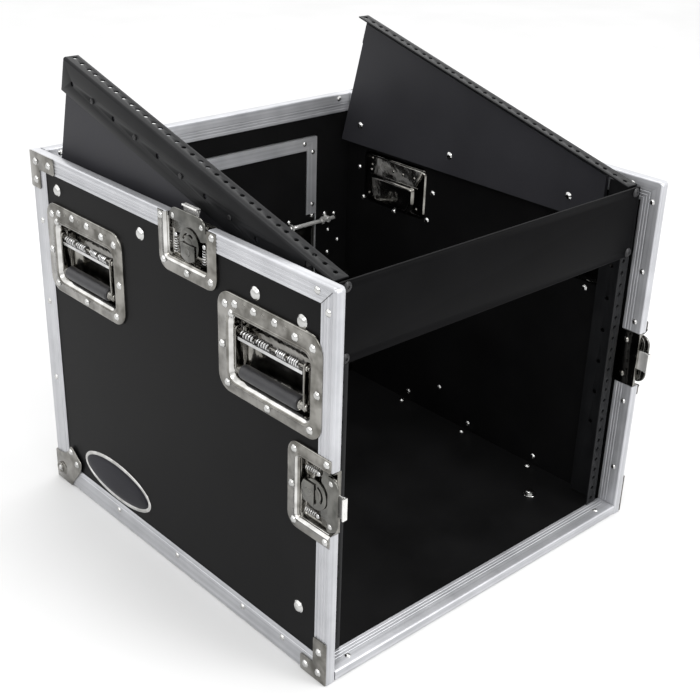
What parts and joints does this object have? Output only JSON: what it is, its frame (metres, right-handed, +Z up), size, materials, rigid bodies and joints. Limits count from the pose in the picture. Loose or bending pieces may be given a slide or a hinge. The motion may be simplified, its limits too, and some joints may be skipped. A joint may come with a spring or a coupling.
{
  "type": "equipment rack case",
  "caption": "Base of a flight case for audio gear: open box with an upright rack bay in front, slanted rack rails on top, handles, twist latches and rear door.",
  "frame": {"origin": "middle of the footprint, on the ground", "axes": "+Z up, -Y out of the open front, X across the case"},
  "size_m": [0.543, 0.5835, 0.5878],
  "materials": {
    "black_laminate": "black phenolic laminate on plywood, fine satin texture",
    "charcoal_board": "charcoal painted board, satin",
    "aluminium_edge": "ribbed extruded aluminium, satin anodised",
    "black_rail_steel": "black painted steel, satin",
    "black_plate_steel": "black powder coat, satin",
    "plated_steel": "bright nickel plated pressed steel",
    "zinc_hardware": "zinc plated steel",
    "black_rubber": "moulded rubber, satin",
    "badge_metal": "domed blank badge with a dark field and a bright rim"
  },
  "bodies": {
    "case": {"back_panel": "black_laminate", "ball_corner_left": "plated_steel", "ball_corner_right": "plated_steel", "blank_plate": "black_plate_steel", "bottom_panel": "black_laminate", "bracket_back_left": "plated_steel", "bracket_back_right": "plated_steel", "bracket_front_left": "plated_steel", "bracket_front_right": "plated_steel", "door_stop_rod": "plated_steel", "edge_back_left": "aluminium_edge", "edge_back_right": "aluminium_edge", "edge_back_top": "aluminium_edge", "edge_bottom_back": "aluminium_edge", "edge_bottom_front": "aluminium_edge", "edge_bottom_left": "aluminium_edge", "edge_bottom_right": "aluminium_edge", "front_rail_left": "black_rail_steel", "front_rail_right": "black_rail_steel", "handle_left_back_dish": "plated_steel", "handle_left_front_dish": "plated_steel", "handle_right_back_dish": "plated_steel", "handle_right_front_dish": "plated_steel", "latch_left_front_dish": "plated_steel", "latch_left_top_dish": "plated_steel", "latch_right_front_dish": "plated_steel", "latch_right_top_dish": "plated_steel", "side_badge": "badge_metal", "side_edge_left": "aluminium_edge", "side_edge_right": "aluminium_edge", "side_panel_left": "black_laminate", "side_panel_right": "black_laminate", "slant_board_left": "charcoal_board", "slant_board_right": "charcoal_board", "slant_rail_left": "black_rail_steel", "slant_rail_right": "black_rail_steel"},
    "handle_left_front": {"handle_left_front_bail": "plated_steel", "handle_left_front_grip": "black_rubber"},
    "handle_left_back": {"handle_left_back_bail": "plated_steel", "handle_left_back_grip": "black_rubber"},
    "handle_right_front": {"handle_right_front_bail": "plated_steel", "handle_right_front_grip": "black_rubber"},
    "handle_right_back": {"handle_right_back_bail": "plated_steel", "handle_right_back_grip": "black_rubber"},
    "latch_left_top_turn": {"latch_left_top_rotor": "zinc_hardware"},
    "latch_left_top_wing_leaf": {"latch_left_top_wing": "zinc_hardware"},
    "latch_left_top_hook_bar": {"latch_left_top_hook": "zinc_hardware"},
    "latch_left_front_turn": {"latch_left_front_rotor": "zinc_hardware"},
    "latch_left_front_wing_leaf": {"latch_left_front_wing": "zinc_hardware"},
    "latch_left_front_hook_bar": {"latch_left_front_hook": "zinc_hardware"},
    "latch_right_top_turn": {"latch_right_top_rotor": "zinc_hardware"},
    "latch_right_top_wing_leaf": {"latch_right_top_wing": "zinc_hardware"},
    "latch_right_top_hook_bar": {"latch_right_top_hook": "zinc_hardware"},
    "latch_right_front_turn": {"latch_right_front_rotor": "zinc_hardware"},
    "latch_right_front_wing_leaf": {"latch_right_front_wing": "zinc_hardware"},
    "latch_right_front_hook_bar": {"latch_right_front_hook": "zinc_hardware"},
    "rear_door": {"rear_door": "black_laminate", "rear_door_trim": "aluminium_edge", "rear_latch_left": "plated_steel", "rear_latch_right": "plated_steel"}
  },
  "joints": [
    {"name": "handle_left_front_swing", "type": "hinge", "parent": "case", "child": "handle_left_front", "pos_m": [-0.262, -0.1825, 0.369], "axis": [0, 1, 0], "range_deg": [0, 90], "stiffness_Nm_per_rad": 0.3, "springref_deg": -28.65},
    {"name": "handle_left_back_swing", "type": "hinge", "parent": "case", "child": "handle_left_back", "pos_m": [-0.262, 0.1685, 0.369], "axis": [0, 1, 0], "range_deg": [0, 90], "stiffness_Nm_per_rad": 0.3, "springref_deg": -28.65},
    {"name": "handle_right_front_swing", "type": "hinge", "parent": "case", "child": "handle_right_front", "pos_m": [0.262, -0.1825, 0.369], "axis": [0, -1, 0], "range_deg": [0, 90], "stiffness_Nm_per_rad": 0.3, "springref_deg": -28.65},
    {"name": "handle_right_back_swing", "type": "hinge", "parent": "case", "child": "handle_right_back", "pos_m": [0.262, 0.1685, 0.369], "axis": [0, -1, 0], "range_deg": [0, 90], "stiffness_Nm_per_rad": 0.3, "springref_deg": -28.65},
    {"name": "latch_left_top_turn", "type": "hinge", "parent": "case", "child": "latch_left_top_turn", "pos_m": [-0.2627, -0.046, 0.441], "axis": [-1, 0, 0], "range_deg": [0, 180]},
    {"name": "latch_left_top_wing_fold", "type": "hinge", "parent": "latch_left_top_turn", "child": "latch_left_top_wing_leaf", "pos_m": [-0.2655, -0.046, 0.441], "axis": [0, 1, 0], "range_deg": [0, 90]},
    {"name": "latch_left_top_hook_slide", "type": "slide", "parent": "case", "child": "latch_left_top_hook_bar", "axis": [0, 0, 1], "range_m": [-0.0081, 0]},
    {"name": "latch_left_front_turn", "type": "hinge", "parent": "case", "child": "latch_left_front_turn", "pos_m": [-0.2627, -0.255, 0.232], "axis": [-1, 0, 0], "range_deg": [0, 180]},
    {"name": "latch_left_front_wing_fold", "type": "hinge", "parent": "latch_left_front_turn", "child": "latch_left_front_wing_leaf", "pos_m": [-0.2655, -0.255, 0.232], "axis": [0, 0, 1], "range_deg": [0, 90]},
    {"name": "latch_left_front_hook_slide", "type": "slide", "parent": "case", "child": "latch_left_front_hook_bar", "axis": [0, -1, 0], "range_m": [-0.0081, 0]},
    {"name": "latch_right_top_turn", "type": "hinge", "parent": "case", "child": "latch_right_top_turn", "pos_m": [0.2627, -0.046, 0.441], "axis": [1, 0, 0], "range_deg": [0, 180]},
    {"name": "latch_right_top_wing_fold", "type": "hinge", "parent": "latch_right_top_turn", "child": "latch_right_top_wing_leaf", "pos_m": [0.2655, -0.046, 0.441], "axis": [0, -1, 0], "range_deg": [0, 90]},
    {"name": "latch_right_top_hook_slide", "type": "slide", "parent": "case", "child": "latch_right_top_hook_bar", "axis": [0, 0, 1], "range_m": [-0.0081, 0]},
    {"name": "latch_right_front_turn", "type": "hinge", "parent": "case", "child": "latch_right_front_turn", "pos_m": [0.2627, -0.255, 0.232], "axis": [1, 0, 0], "range_deg": [0, 180]},
    {"name": "latch_right_front_wing_fold", "type": "hinge", "parent": "latch_right_front_turn", "child": "latch_right_front_wing_leaf", "pos_m": [0.2655, -0.255, 0.232], "axis": [0, 0, -1], "range_deg": [0, 90]},
    {"name": "latch_right_front_hook_slide", "type": "slide", "parent": "case", "child": "latch_right_front_hook_bar", "axis": [0, -1, 0], "range_m": [-0.0081, 0]},
    {"name": "rear_door_lift_off", "type": "slide", "parent": "case", "child": "rear_door", "axis": [0, 1, 0], "range_m": [0, 0.15]}
  ],
  "couplings": [
    {"joint": "latch_left_top_hook_slide", "follows": "latch_left_top_turn", "m_per_rad": -0.0025465},
    {"joint": "latch_left_front_hook_slide", "follows": "latch_left_front_turn", "m_per_rad": -0.0025465},
    {"joint": "latch_right_top_hook_slide", "follows": "latch_right_top_turn", "m_per_rad": -0.0025465},
    {"joint": "latch_right_front_hook_slide", "follows": "latch_right_front_turn", "m_per_rad": -0.0025465}
  ]
}
